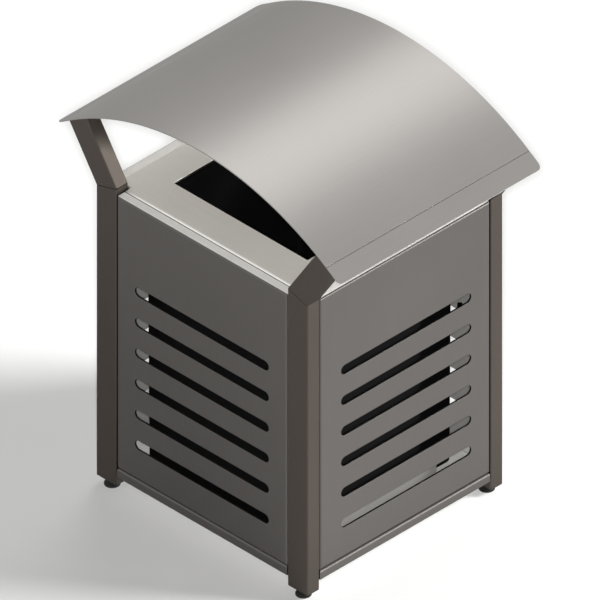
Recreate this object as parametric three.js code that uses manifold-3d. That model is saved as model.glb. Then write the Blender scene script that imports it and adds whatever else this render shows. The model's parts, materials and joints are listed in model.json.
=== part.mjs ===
// Outdoor trash receptacle in stainless steel: four bent tube posts on levelling feet carry three slotted
// panels, a slotted service door at the rear, a raised top plate with a deposit opening, and an arched canopy.
// Millimetres, +Z up. The origin is on the ground under the middle of the body, and the front looks along -Y.
import * as THREE from "three";
import { mergeVertices } from "three/addons/utils/BufferGeometryUtils.js";
import Module from "manifold-3d";

const wasm = await Module();
wasm.setup();

// Clearances
const fit = 0.3; // between a piece and its hole, bore or seat
const overrun = 4; // how far a cutter runs past the faces that it cuts
const openJoint = 1.75; // between a post and the folded edge beside it
const seamJoint = 1.2; // between the panels and the base tray below them
const plateJoint = 0.5; // between the panel flanges and the top plate inside them

// Posts: rectangular tube, mitred and welded where it leans out to the canopy
const tubeWide = 63.5;
const tubeDeep = 38.1;
const tubeWall = 3.2;
const tubeCorner = 3.3;
const bayWidth = 543.6; // clear width between two posts, the same on all four sides
const leanDegrees = 33.1; // lean of the upper length of a post, and slope of the canopy flange it meets

// Heights, from the ground up
const groundGap = 19.3; // ground to the underside of the post plugs
const plugFlange = 3;
const trayRise = 22; // end of the tube to the lower edge of the base tray
const trayHeight = 24.3;
const panelHeight = 745.5;

// Folded sheet
const sheet = 4.76;
const bend = 6.35; // outer radius of a fold
const rimDepth = 25.4; // depth of the folded rims of panels, door and top plate

// Slots, six to a panel
const slotCount = 6;
const slotHeight = 25.4;
const slotPitch = 84.1;
const slotTopDrop = 229; // top of the panel to the middle of its first slot
const wideSlotMargin = 59.3; // post to the end of a slot, on the front panel and the door
const sideSlotMargin = 65.3; // the same on the left and right panels
const sideSlotShift = 3.3;
const sideSlotDrop = 2.5;

// Top plate and deposit opening
const plateRise = 4.9; // above the flanges of the panels
const depositWide = 425;
const depositDeep = 374;
const depositCorner = 3;
const chuteDepth = 35;
const chuteWall = 3;
const chuteLip = 18;
const chuteStep = 1.5; // how far the chute stands back from the edge of the opening

// Canopy
const canopyRadius = 746.6; // of the upper surface
const canopyRise = 270.6; // top of the panels to the crown
const canopySheet = 3;
const canopyFlange = 49.9;
const canopyOverhang = 11.7; // past the front and rear faces of the body
const canopyCorner = 13;

// Levelling feet
const padRadius = 18.9;
const padEdge = 5;
const padTop = 8;
const padChamfer = 0.8;
const shoulderRadius = 9;
const studRadius = 5;
const studLength = 58;
const nutHeight = 6;
const nutRadius = 9.8;
const plugInsert = 20;

// Bolts
const boltRadius = 4;
const boltHeadRadius = 7.5;
const boltHeadHeight = 5.3;
const boltReach = 6; // past the inner face of the tube wall
const boltSetback = 14.5; // outer face of a panel to its bolts
const boltFromEnd = 60; // top or lower edge of a panel to its bolts

// Door hinges
const leafHeight = 76;
const leafWidth = 28;
const leafThickness = 2.5;
const knuckleRadius = 5;
const hingePinRadius = 2.5;
const hingeFromEnd = 95; // top or lower edge of the door to the middle of a hinge
const pinHeadRadius = 3.6;
const pinHeadHeight = 1.6;

// Cam lock
const lockFromEdge = 29; // free edge of the door to the axis of the lock
const lockRadius = 9.5;
const lockHeadRadius = 13;
const lockHeadHeight = 3;
const lockNutHeight = 5;
const lockNutRadius = 14;
const lockPlugRadius = 6;
const keySlotWide = 1.6;
const keySlotTall = 8;
const keySlotDeep = 5;
const camThickness = 3;
const camWidth = 18;
const camLength = 48; // axis of the lock to the tip of the cam
const camSetback = 0.5; // between the cam and the post that it turns behind
const camScrewRadius = 8.2;
const camScrewHead = 2.4;

// Liner and what guides it
const linerMargin = 27.3; // from the clear bay to the liner's wall at its rim
const linerTaper = 3; // how much each wall comes in from rim to floor
const linerWall = 4;
const linerCorner = 12;
const linerLip = 5;
const linerLipHeight = 8;
const linerHeadroom = 5; // below the chute
const guideMargin = 13.2; // from the clear bay to the face of a guide
const guideEndMargin = 98.8; // from the clear bay to the end of a guide
const guideHeight = 50;
const guideFoot = 25;
const guideSheet = 3.2;
const stopHeight = 20;
const stopEndMargin = 121.8; // from the clear bay to the end of the stop
const stopGap = 1.5; // between the liner and its stop

// Facets
const bendFacets = 3;
const slotFacets = 6;
const archFacets = 32;
const roundFacets = 16;
const boltFacets = 8;
const hexFacets = 6;

// Worked out from the sizes above
const lean = THREE.MathUtils.degToRad(leanDegrees);
const bodyWide = bayWidth + 2 * tubeWide;
const bodyDeep = bayWidth + 2 * tubeDeep;
const tubeEnd = groundGap + plugFlange;
const trayBottom = tubeEnd + trayRise;
const trayTop = trayBottom + trayHeight;
const panelBottom = trayTop + seamJoint;
const panelTop = panelBottom + panelHeight;
const panelMiddle = (panelBottom + panelTop) / 2;
const panelWidth = bayWidth - 2 * openJoint;
const wideSlot = bayWidth - 2 * wideSlotMargin;
const sideSlot = bayWidth - 2 * sideSlotMargin;
const plateTop = panelTop + plateRise;
const plateWide = bodyWide - 2 * (rimDepth + plateJoint);
const plateDeep = bodyDeep - 2 * (rimDepth + plateJoint);
const chuteBottom = plateTop - sheet - fit - chuteDepth;
const archCentre = panelTop + canopyRise - canopyRadius;
const canopyWide = 2 * (canopyRadius * Math.sin(lean) + canopyFlange * Math.cos(lean));
const canopyDeep = bodyDeep + 2 * canopyOverhang;
const boltLength = sheet + openJoint + tubeWall + boltReach;
const hingeOut = knuckleRadius + fit; // face of the door to the hinge axis
const linerRim = bayWidth / 2 - linerMargin;
const linerFoot = linerRim - linerTaper;
const postX = (bayWidth + tubeWide) / 2;
const postY = (bayWidth + tubeDeep) / 2;

// Materials
const steelLook = { color: 0xa8a49e, roughness: 0.38, metalness: 0.9 };
const postLook = { color: 0x8f8882, roughness: 0.42, metalness: 0.9 };
const boltLook = { color: 0xb9b7b2, roughness: 0.3, metalness: 0.95 };
const blackLook = { color: 0x141414, roughness: 0.6, metalness: 0 };
const rubberLook = { color: 0x101010, roughness: 0.85, metalness: 0 };

const receptacle = new THREE.Group();
receptacle.name = "receptacle";

// A closed geometry as a solid that can be joined and cut
function solidOf(geometry) {
  const bare = geometry.clone();
  bare.deleteAttribute("normal");
  bare.deleteAttribute("uv");
  const merged = mergeVertices(bare);
  return new wasm.Manifold(
    new wasm.Mesh({
      numProp: 3,
      vertProperties: merged.attributes.position.array,
      triVerts: new Uint32Array(merged.index.array),
    }),
  );
}

// A solid as a geometry with flat faces
function geometryOf(solid) {
  const mesh = solid.getMesh();
  const geometry = new THREE.BufferGeometry();
  geometry.setAttribute("position", new THREE.BufferAttribute(mesh.vertProperties, mesh.numProp));
  geometry.setIndex(new THREE.BufferAttribute(mesh.triVerts, 1));
  const faceted = geometry.toNonIndexed();
  faceted.computeVertexNormals();
  return faceted;
}

function addMesh(parent, name, shape, look) {
  const geometry = shape.isBufferGeometry ? shape : geometryOf(shape);
  const mesh = new THREE.Mesh(geometry, new THREE.MeshStandardMaterial(look));
  mesh.name = name;
  parent.add(mesh);
  return mesh;
}

function addGroup(parent, x, y, z, turn) {
  const group = new THREE.Group();
  group.position.set(x, y, z);
  group.rotation.z = turn;
  parent.add(group);
  group.updateMatrixWorld(true);
  return group;
}

// An outline drawn in XY, extruded up from z = low to z = high
function prism(shape, low, high, facets) {
  const settings = { depth: high - low, bevelEnabled: false, curveSegments: facets };
  return solidOf(new THREE.ExtrudeGeometry(shape, settings).translate(0, 0, low));
}

function block(low, high) {
  const size = new THREE.Vector3().subVectors(high, low);
  const middle = new THREE.Vector3().addVectors(low, high).multiplyScalar(0.5);
  return solidOf(new THREE.BoxGeometry(size.x, size.y, size.z).translate(middle.x, middle.y, middle.z));
}

function corner(x, y, z) {
  return new THREE.Vector3(x, y, z);
}

// A cylinder standing on z = low
function rod(radius, low, high, facets) {
  const upright = new THREE.CylinderGeometry(radius, radius, high - low, facets).rotateX(Math.PI / 2);
  return solidOf(upright.translate(0, 0, (low + high) / 2));
}

// A rectangle with round corners, centred on the origin
function roundedRectangle(wide, deep, radius) {
  const x = wide / 2 - radius;
  const y = deep / 2 - radius;
  const shape = new THREE.Shape();
  shape.absarc(x, y, radius, 0, Math.PI / 2, false);
  shape.absarc(-x, y, radius, Math.PI / 2, Math.PI, false);
  shape.absarc(-x, -y, radius, Math.PI, Math.PI * 1.5, false);
  shape.absarc(x, -y, radius, Math.PI * 1.5, Math.PI * 2, false);
  return shape;
}

// The points of a rounded rectangle, each once, anticlockwise from above
function roundedPoints(wide, deep, radius) {
  const points = roundedRectangle(wide, deep, radius).getPoints(bendFacets);
  return points.filter((point, i) => point.distanceTo(points[(i + 1) % points.length]) > fit);
}

function rectanglePoints(wide, deep) {
  const signs = [corner(1, 1), corner(-1, 1), corner(-1, -1), corner(1, -1)];
  return signs.map((sign) => new THREE.Vector2((sign.x * wide) / 2, (sign.y * deep) / 2));
}

// A closed solid through rings of equal point counts, lowest first, each anticlockwise from above
function loft(rings) {
  const count = rings[0].length;
  const geometry = new THREE.BufferGeometry().setFromPoints(rings.flat());
  const index = [];
  rings.slice(1).forEach((ring, level) => {
    ring.forEach((point, i) => {
      const next = (i + 1) % count;
      const low = level * count;
      const high = low + count;
      index.push(low + i, low + next, high + next, low + i, high + next, high + i);
    });
  });
  const top = (rings.length - 1) * count;
  const flat = rings[0].map((point) => new THREE.Vector2(point.x, point.y));
  THREE.ShapeUtils.triangulateShape(flat, []).forEach(([a, b, c]) => {
    index.push(c, b, a, top + a, top + b, top + c);
  });
  geometry.setIndex(index);
  return solidOf(geometry);
}

// The outside of a folded tray: its face is at y = 0 and looks along -Y, its rims run back to y = deep,
// and its four front edges are rounded by the folds
function trayBlock(wide, tall, deep, radius) {
  const fold = Math.max(radius, fit);
  const outline = (width) => {
    const shape = new THREE.Shape();
    shape.moveTo(-width / 2, deep);
    shape.lineTo(-width / 2, fold);
    shape.absarc(-width / 2 + fold, fold, fold, Math.PI, Math.PI * 1.5, false);
    shape.absarc(width / 2 - fold, fold, fold, Math.PI * 1.5, Math.PI * 2, false);
    shape.lineTo(width / 2, deep);
    return shape;
  };
  const upright = prism(outline(wide), -tall / 2, tall / 2, bendFacets);
  const across = prism(outline(tall), -wide / 2, wide / 2, bendFacets).rotate([0, -90, 0]);
  return upright.intersect(across);
}

// A round-ended slot through a sheet whose face is at y = 0
function slotCutter(length, tall) {
  const straight = (length - tall) / 2;
  const shape = new THREE.Shape();
  shape.absarc(straight, 0, tall / 2, -Math.PI / 2, Math.PI / 2, false);
  shape.absarc(-straight, 0, tall / 2, Math.PI / 2, Math.PI * 1.5, false);
  return prism(shape, -sheet - overrun, overrun, slotFacets).rotate([90, 0, 0]);
}

// Bolts: a bolt runs from its head, seated at z = 0, along its own +Z
function boltSolid() {
  const head = rod(boltHeadRadius, -boltHeadHeight, 0, hexFacets);
  return head.add(rod(boltRadius, -boltHeadHeight / 2, boltLength, boltFacets));
}

const holes = []; // what each bolt cuts out of the posts, in the receptacle's frame

// Adds a bolt to a group and gives back the hole that it needs in that group's own frame
function addBolt(group, name, seat, direction) {
  const bolt = addMesh(group, name, boltSolid(), boltLook);
  bolt.position.copy(seat);
  bolt.quaternion.setFromUnitVectors(corner(0, 0, 1), direction);
  bolt.updateMatrixWorld(true);
  const hole = geometryOf(rod(boltRadius + fit, -overrun, boltLength + fit, boltFacets));
  holes.push(solidOf(hole.clone().applyMatrix4(bolt.matrixWorld)));
  return solidOf(hole.applyMatrix4(bolt.matrix));
}

// Panels: trays of folded sheet with their slots, each in a group whose y = 0 is the outer face
function panelSolid(slotLength, slotShift, slotDrop) {
  const outside = trayBlock(panelWidth, panelHeight, rimDepth, bend);
  const inside = trayBlock(
    panelWidth - 2 * sheet,
    panelHeight - 2 * sheet,
    rimDepth - sheet + overrun,
    bend - sheet,
  );
  let panel = outside.subtract(inside.translate([0, sheet, 0]));
  for (let i = 0; i < slotCount; i += 1) {
    const height = panelHeight / 2 - slotTopDrop - slotDrop - i * slotPitch;
    panel = panel.subtract(slotCutter(slotLength, slotHeight).translate([slotShift, 0, height]));
  }
  return panel;
}

const frontPanelGroup = addGroup(receptacle, 0, -bodyDeep / 2, panelMiddle, 0);
const rightPanelGroup = addGroup(receptacle, bodyWide / 2, 0, panelMiddle, Math.PI / 2);
const leftPanelGroup = addGroup(receptacle, -bodyWide / 2, 0, panelMiddle, -Math.PI / 2);

function addPanel(group, side, slotLength, slotShift, slotDrop) {
  let panel = panelSolid(slotLength, slotShift, slotDrop);
  for (const [end, across] of [["left", -1], ["right", 1]]) {
    for (const [level, up] of [["lower", -1], ["upper", 1]]) {
      const seat = corner(
        across * (panelWidth / 2 - sheet),
        boltSetback,
        up * (panelHeight / 2 - boltFromEnd),
      );
      const name = "panel_bolt_" + side + "_" + level + "_" + end;
      panel = panel.subtract(addBolt(group, name, seat, corner(across, 0, 0)));
    }
  }
  addMesh(group, side + "_panel", panel, steelLook);
}

addPanel(frontPanelGroup, "front", wideSlot, 0, 0);
addPanel(rightPanelGroup, "right", sideSlot, sideSlotShift, sideSlotDrop);
addPanel(leftPanelGroup, "left", sideSlot, sideSlotShift, sideSlotDrop);

// A folded pan that lies between the posts, with its corners notched round them and its walls turned down
function pan(wide, deep, tall) {
  const reach = Math.max(wide, deep);
  const notched = (solid, margin) => {
    const start = bayWidth / 2 - openJoint - margin;
    let cut = solid;
    for (const x of [-1, 1]) {
      for (const y of [-1, 1]) {
        const low = corner(Math.min(x * start, x * reach), Math.min(y * start, y * reach), -reach);
        const high = corner(Math.max(x * start, x * reach), Math.max(y * start, y * reach), reach);
        cut = cut.subtract(block(low, high));
      }
    }
    return cut;
  };
  const laid = (solid, drop) => solid.rotate([-90, 0, 0]).translate([0, 0, -drop]);
  const outside = trayBlock(wide, deep, tall, bend);
  const inside = trayBlock(wide - 2 * sheet, deep - 2 * sheet, tall - sheet + overrun, bend - sheet);
  return notched(laid(outside, 0), 0).subtract(notched(laid(inside, sheet), sheet));
}

// Fastens a pan to the four posts through its notch walls, and cuts the bolt holes in it
function boltPan(group, solid, prefix, x, z) {
  let cut = solid;
  for (const [end, across] of [["left", -1], ["right", 1]]) {
    for (const [row, along] of [["front", -1], ["rear", 1]]) {
      const seat = corner(across * x, along * (bayWidth / 2 - openJoint - sheet), z);
      cut = cut.subtract(addBolt(group, prefix + "_bolt_" + row + "_" + end, seat, corner(0, along, 0)));
    }
  }
  return cut;
}

// Base tray
const trayGroup = addGroup(receptacle, 0, 0, trayTop, 0);
const trayBoltZ = -(sheet + trayHeight) / 2;
const trayPan = boltPan(trayGroup, pan(bodyWide, bodyDeep, trayHeight), "base", postX, trayBoltZ);
addMesh(trayGroup, "base_tray", trayPan, steelLook);

// Top plate with the deposit opening
const plateGroup = addGroup(receptacle, 0, 0, plateTop, 0);
const plateBoltX = (plateWide / 2 + bayWidth / 2 - openJoint) / 2;
const plateBoltZ = -(sheet + rimDepth) / 2;
const platePan = boltPan(plateGroup, pan(plateWide, plateDeep, rimDepth), "top_plate", plateBoltX, plateBoltZ);
const depositOutline = roundedRectangle(depositWide, depositDeep, depositCorner);
const depositCut = prism(depositOutline, -sheet - overrun, overrun, bendFacets);
addMesh(plateGroup, "top_plate", platePan.subtract(depositCut), steelLook);

// Deposit chute: a black collar that hangs by its lip under the top plate
const chuteWide = depositWide + 2 * chuteStep;
const chuteDeep = depositDeep + 2 * chuteStep;
const chuteTop = -sheet - fit;
const chuteRing = (grow) => {
  return roundedRectangle(chuteWide + 2 * grow, chuteDeep + 2 * grow, depositCorner + grow);
};
const chuteSkirt = prism(chuteRing(chuteWall), chuteTop - chuteDepth, chuteTop, bendFacets);
const chuteCollar = prism(chuteRing(chuteLip), chuteTop - chuteWall, chuteTop, bendFacets);
const chuteBore = prism(chuteRing(0), chuteTop - chuteDepth - overrun, chuteTop + overrun, bendFacets);
addMesh(plateGroup, "deposit_chute", chuteSkirt.add(chuteCollar).subtract(chuteBore), blackLook);

// The end view of the arch between two offsets from its upper surface, with its flat flanges
function archOutline(above, below, beyond) {
  const outer = canopyRadius + above;
  const inner = canopyRadius - below;
  const flange = canopyFlange + beyond;
  const end = (radius, side) => [
    side * (radius * Math.sin(lean) + flange * Math.cos(lean)),
    radius * Math.cos(lean) - flange * Math.sin(lean),
  ];
  const shape = new THREE.Shape();
  shape.moveTo(...end(inner, 1));
  shape.lineTo(...end(outer, 1));
  shape.absarc(0, 0, outer, Math.PI / 2 - lean, Math.PI / 2 + lean, false);
  shape.lineTo(...end(outer, -1));
  shape.lineTo(...end(inner, -1));
  shape.absarc(0, 0, inner, Math.PI / 2 + lean, Math.PI / 2 - lean, true);
  return shape;
}

function archSolid(above, below, beyond, deep) {
  const laid = prism(archOutline(above, below, beyond), -deep / 2, deep / 2, archFacets);
  return laid.rotate([90, 0, 0]);
}

// What a canopy corner loses to its rounding
function cornerCutter(sideX, sideY) {
  const x = canopyWide / 2;
  const y = canopyDeep / 2;
  const points = [
    [x - canopyCorner, y + overrun],
    [x + overrun, y + overrun],
    [x + overrun, y - canopyCorner],
  ];
  for (let i = 0; i <= slotFacets; i += 1) {
    const angle = ((Math.PI / 2) * i) / slotFacets;
    points.push([
      x - canopyCorner * (1 - Math.cos(angle)),
      y - canopyCorner * (1 - Math.sin(angle)),
    ]);
  }
  const shape = new THREE.Shape(points.map(([px, py]) => new THREE.Vector2(sideX * px, sideY * py)));
  return prism(shape, 0, canopyRadius + overrun, 1);
}

// Canopy: one sheet rolled to an arch, with a flat flange left at each end
const canopyGroup = addGroup(receptacle, 0, 0, archCentre, 0);
let canopy = archSolid(0, canopySheet, 0, canopyDeep);
for (const x of [-1, 1]) {
  for (const y of [-1, 1]) {
    canopy = canopy.subtract(cornerCutter(x, y));
  }
}
addMesh(canopyGroup, "canopy", canopy, steelLook);

// A post, standing or leaning, from its section: up the tube to the mitre, then square on to the flange.
// Past both ends it runs on by the given overrun.
function postLoft(section, side, past) {
  const outward = corner(side * Math.sin(lean), 0, Math.cos(lean));
  const centre = corner(0, 0, archCentre);
  const foot = [];
  const mitre = [];
  const head = [];
  for (const point of section) {
    const x = side * postX + point.x;
    const bendHeight = panelTop + (bodyWide / 2 - side * x) * Math.tan(lean / 2);
    const knee = corner(x, point.y, bendHeight);
    const reach = canopyRadius - knee.clone().sub(centre).dot(outward);
    foot.push(corner(x, point.y, tubeEnd - past));
    mitre.push(knee);
    head.push(knee.clone().addScaledVector(outward, reach + past));
  }
  return loft([foot, mitre, head]);
}

const sides = [["left", -1], ["right", 1]];
const rows = [["front", -1], ["rear", 1]];
const archClearance = archSolid(tubeWide, canopySheet + fit, tubeWide, canopyDeep);
const archCutter = archClearance.translate([0, 0, archCentre]);

function postSolid(side, row) {
  const outside = postLoft(roundedPoints(tubeWide, tubeDeep, tubeCorner), side, 0);
  const inside = postLoft(rectanglePoints(tubeWide - 2 * tubeWall, tubeDeep - 2 * tubeWall), side, overrun);
  let post = outside.subtract(inside).translate([0, row * postY, 0]).subtract(archCutter);
  for (const hole of holes) {
    post = post.subtract(hole);
  }
  return post;
}

// Plugs that close the lower ends of the posts and carry the levelling feet
function plugSolid() {
  const flange = prism(roundedRectangle(tubeWide, tubeDeep, tubeCorner), 0, plugFlange - fit, bendFacets);
  const insertWide = tubeWide - 2 * (tubeWall + fit);
  const insertDeep = tubeDeep - 2 * (tubeWall + fit);
  const low = corner(-insertWide / 2, -insertDeep / 2, 0);
  const insert = block(low, corner(insertWide / 2, insertDeep / 2, plugFlange + plugInsert));
  const bore = rod(studRadius + fit, -overrun, plugFlange + plugInsert + overrun, roundFacets);
  return flange.add(insert).subtract(bore);
}

// A levelling foot: pad, shoulder and stud turned in one, standing on z = 0
const shoulderTop = groundGap - nutHeight - 2 * fit;
function footGeometry() {
  const outline = [
    [0, 0],
    [padRadius - padChamfer, 0],
    [padRadius, padChamfer],
    [padRadius, padEdge],
    [shoulderRadius, padTop],
    [shoulderRadius, shoulderTop],
    [studRadius, shoulderTop],
    [studRadius, studLength],
    [0, studLength],
  ];
  const profile = outline.map(([radius, height]) => new THREE.Vector2(radius, height));
  return new THREE.LatheGeometry(profile, roundFacets).rotateX(Math.PI / 2);
}

function nutSolid(radius, bore, height) {
  return rod(radius, 0, height, hexFacets).subtract(rod(bore, -overrun, height + overrun, roundFacets));
}

for (const [row, along] of rows) {
  for (const [side, across] of sides) {
    const place = "_" + row + "_" + side;
    const footGroup = addGroup(receptacle, across * postX, along * postY, 0, 0);
    addMesh(receptacle, "post" + place, postSolid(across, along), postLook);
    addMesh(footGroup, "foot" + place, solidOf(footGeometry()), rubberLook);
    addMesh(footGroup, "post_plug" + place, plugSolid(), blackLook).position.z = groundGap;
    const nut = addMesh(footGroup, "foot_nut" + place, nutSolid(nutRadius, studRadius + fit, nutHeight), boltLook);
    nut.position.z = groundGap - nutHeight - fit;
  }
}

// Service door at the rear: a panel like the front one, hung at its left and locked at its right
const doorGroup = addGroup(receptacle, 0, bodyDeep / 2, panelMiddle, Math.PI);
const lockX = -(panelWidth / 2 - lockFromEdge);
const lockHole = rod(lockRadius + fit, -sheet - overrun, overrun, roundFacets).rotate([90, 0, 0]);
const doorPanel = panelSolid(wideSlot, 0, 0).subtract(lockHole.translate([lockX, 0, 0]));
addMesh(doorGroup, "service_door", doorPanel, steelLook);

// Hinges: each group's z axis is the pin, +X runs over the door and -Y points out of the rear face
const barrelHeight = leafHeight / 3;
function knuckle(low, high) {
  return rod(knuckleRadius, low, high, roundFacets);
}

function knuckleRoom(low, high) {
  return rod(knuckleRadius + fit, low - fit, high + fit, roundFacets);
}

function leafPlate(side) {
  const near = Math.min(side * fit, side * leafWidth);
  const far = Math.max(side * fit, side * leafWidth);
  const low = corner(near, hingeOut - leafThickness, -leafHeight / 2);
  return block(low, corner(far, hingeOut, leafHeight / 2));
}

const middleKnuckle = [-barrelHeight / 2 + fit, barrelHeight / 2 - fit];
const upperKnuckle = [barrelHeight / 2, leafHeight / 2];
const lowerKnuckle = [-leafHeight / 2, -barrelHeight / 2];
const pinBore = rod(hingePinRadius + fit, -leafHeight, leafHeight, boltFacets);
const doorSide = -1; // the door lies on the -X side of the pin in the hinge group

for (const [level, up] of [["lower", -1], ["upper", 1]]) {
  const hinge = addGroup(
    doorGroup,
    (panelWidth + openJoint) / 2,
    -hingeOut,
    up * (panelHeight / 2 - hingeFromEnd),
    0,
  );
  const postLeaf = leafPlate(-doorSide)
    .subtract(knuckleRoom(...middleKnuckle))
    .add(knuckle(...upperKnuckle))
    .add(knuckle(...lowerKnuckle))
    .subtract(pinBore);
  const doorLeaf = leafPlate(doorSide)
    .subtract(knuckleRoom(...upperKnuckle))
    .subtract(knuckleRoom(...lowerKnuckle))
    .add(knuckle(...middleKnuckle))
    .subtract(pinBore);
  const head = rod(pinHeadRadius, leafHeight / 2 + fit, leafHeight / 2 + fit + pinHeadHeight, boltFacets);
  const pin = rod(hingePinRadius, -leafHeight / 2, leafHeight / 2 + pinHeadHeight, boltFacets).add(head);
  addMesh(hinge, "hinge_" + level + "_post_leaf", postLeaf, boltLook);
  addMesh(hinge, "hinge_" + level + "_door_leaf", doorLeaf, boltLook);
  addMesh(hinge, "hinge_" + level + "_pin", pin, boltLook);
}

// Cam lock: each solid is drawn along +Z, which the group turns to run into the body from the door's face
const lockGroup = addGroup(doorGroup, lockX, 0, 0, 0);
lockGroup.rotation.x = -Math.PI / 2;
lockGroup.updateMatrixWorld(true);
const camOuter = tubeDeep + camSetback; // depth of the cam's face that passes the post
const barrelEnd = camOuter - fit;
const lockBore = rod(lockPlugRadius + fit, -lockHeadHeight - overrun, barrelEnd + overrun, roundFacets);
const lockHead = rod(lockHeadRadius, -lockHeadHeight, -fit, roundFacets);
const lockBarrel = rod(lockRadius, -lockHeadHeight, barrelEnd, roundFacets);
addMesh(lockGroup, "lock_body", lockHead.add(lockBarrel).subtract(lockBore), boltLook);
const lockNut = nutSolid(lockNutRadius, lockRadius + fit, lockNutHeight);
addMesh(lockGroup, "lock_nut", lockNut, boltLook).position.z = sheet + fit;
const keySlot = block(
  corner(-keySlotWide / 2, -keySlotTall / 2, -lockHeadHeight - overrun),
  corner(keySlotWide / 2, keySlotTall / 2, -lockHeadHeight + keySlotDeep),
);
const plugEnd = camOuter + camThickness;
const lockPlug = rod(lockPlugRadius, -lockHeadHeight, plugEnd, roundFacets).subtract(keySlot);
addMesh(lockGroup, "lock_plug", lockPlug, boltLook);

// The cam stands up from the axis while the door is unlocked
function camOutline() {
  const shape = new THREE.Shape();
  const tip = camLength - camWidth / 2;
  shape.absarc(0, 0, camWidth / 2, 0, Math.PI, false);
  shape.absarc(0, -tip, camWidth / 2, Math.PI, Math.PI * 2, false);
  return shape;
}
const camHole = rod(lockPlugRadius + fit, -overrun, camThickness + overrun, roundFacets);
const cam = prism(camOutline(), 0, camThickness, slotFacets).subtract(camHole);
addMesh(lockGroup, "lock_cam", cam, boltLook).position.z = camOuter;
const camScrew = rod(camScrewRadius, 0, camScrewHead, hexFacets);
addMesh(lockGroup, "lock_cam_screw", camScrew, boltLook).position.z = plugEnd + fit;

// Liner: an open box with a slight taper and a rolled rim, standing on the base tray
const linerBottom = trayTop + fit;
const linerTop = chuteBottom - linerHeadroom;
function linerRing(half, radius, height) {
  return roundedPoints(2 * half, 2 * half, radius).map((point) => corner(point.x, point.y, height));
}
const linerOutside = loft([
  linerRing(linerFoot, linerCorner, linerBottom),
  linerRing(linerRim, linerCorner, linerTop),
]);
const linerInside = loft([
  linerRing(linerFoot - linerWall, linerCorner - linerWall, linerBottom + linerWall),
  linerRing(linerRim - linerWall, linerCorner - linerWall, linerTop + fit),
]);
const linerRoll = loft([
  linerRing(linerRim + linerLip, linerCorner + linerLip, linerTop - linerLipHeight),
  linerRing(linerRim + linerLip, linerCorner + linerLip, linerTop),
]);
addMesh(receptacle, "liner", linerOutside.add(linerRoll).subtract(linerInside), blackLook);

// Angle strips on the base tray: a guide at each side of the liner, and a stop in front of it
function angleStrip(height, foot, halfLength) {
  const outline = [
    [0, 0],
    [foot, 0],
    [foot, guideSheet],
    [guideSheet, guideSheet],
    [guideSheet, height],
    [0, height],
  ];
  const shape = new THREE.Shape(outline.map(([x, y]) => new THREE.Vector2(x, y)));
  return prism(shape, -halfLength, halfLength, 1).rotate([90, 0, 0]);
}

const guideFace = bayWidth / 2 - guideMargin;
const guide = angleStrip(guideHeight, guideFoot, bayWidth / 2 - guideEndMargin);
const stop = angleStrip(stopHeight, guideFoot, bayWidth / 2 - stopEndMargin);
const stripGroup = addGroup(receptacle, 0, 0, linerBottom, 0);
const rightStrip = addGroup(stripGroup, guideFace, 0, 0, 0);
const leftStrip = addGroup(stripGroup, -guideFace, 0, 0, Math.PI);
const frontStrip = addGroup(stripGroup, 0, -(linerFoot + stopGap), 0, -Math.PI / 2);
addMesh(rightStrip, "liner_guide_right", guide, steelLook);
addMesh(leftStrip, "liner_guide_left", guide, steelLook);
addMesh(frontStrip, "liner_stop", stop, steelLook);

export default receptacle;
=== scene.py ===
import json
import math

import bmesh
import bpy
from mathutils import Matrix, Vector


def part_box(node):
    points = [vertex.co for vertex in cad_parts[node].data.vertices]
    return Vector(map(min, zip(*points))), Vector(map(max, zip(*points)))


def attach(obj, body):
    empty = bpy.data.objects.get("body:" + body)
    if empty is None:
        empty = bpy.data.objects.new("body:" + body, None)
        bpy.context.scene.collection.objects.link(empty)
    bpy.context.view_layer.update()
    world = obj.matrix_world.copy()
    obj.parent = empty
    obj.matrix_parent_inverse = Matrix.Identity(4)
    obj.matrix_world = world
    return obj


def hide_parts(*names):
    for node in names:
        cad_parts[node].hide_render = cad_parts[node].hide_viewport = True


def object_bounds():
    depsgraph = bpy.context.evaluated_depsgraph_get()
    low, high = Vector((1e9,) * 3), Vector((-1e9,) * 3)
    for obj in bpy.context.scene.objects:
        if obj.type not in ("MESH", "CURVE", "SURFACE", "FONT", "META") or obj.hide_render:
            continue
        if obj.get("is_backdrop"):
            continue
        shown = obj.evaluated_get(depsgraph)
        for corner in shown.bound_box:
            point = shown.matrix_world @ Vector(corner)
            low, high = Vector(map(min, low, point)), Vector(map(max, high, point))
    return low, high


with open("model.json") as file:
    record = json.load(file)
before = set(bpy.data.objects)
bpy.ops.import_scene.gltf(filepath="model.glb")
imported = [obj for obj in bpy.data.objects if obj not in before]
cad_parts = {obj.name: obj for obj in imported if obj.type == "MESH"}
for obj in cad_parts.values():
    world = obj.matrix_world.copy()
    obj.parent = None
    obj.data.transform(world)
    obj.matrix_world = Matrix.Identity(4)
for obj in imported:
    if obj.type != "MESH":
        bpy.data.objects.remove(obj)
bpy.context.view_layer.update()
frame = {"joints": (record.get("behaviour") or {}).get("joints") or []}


# Levelling pads: the round pads that the receptacle stands on, one under each post. Each is moulded in
# black rubber in one with its short shoulder, and slopes off to its edge so that water runs away.
mm = 0.001
corners = {
    row + "_" + hand: (across, along)
    for row, along in (("front", -1), ("rear", 1))
    for hand, across in (("left", -1), ("right", 1))
}
round_steps = 48
pad_fillet = 1.4 * mm
pad_edge = 5 * mm
pad_top = 8 * mm
shoulder_radius = 9 * mm
shoulder_fillet = 2 * mm
shoulder_top = 12.7 * mm
worn_patch = 60 * mm
merge_within = 0.004 * mm


def linear(code, times=1.0):
    """An sRGB hex colour as linear RGBA, made lighter or darker by a factor."""
    parts = [int(code[i : i + 2], 16) / 255 for i in (1, 3, 5)]
    return [times * (c / 12.92 if c <= 0.04045 else ((c + 0.055) / 1.055) ** 2.4) for c in parts] + [1.0]


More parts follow.
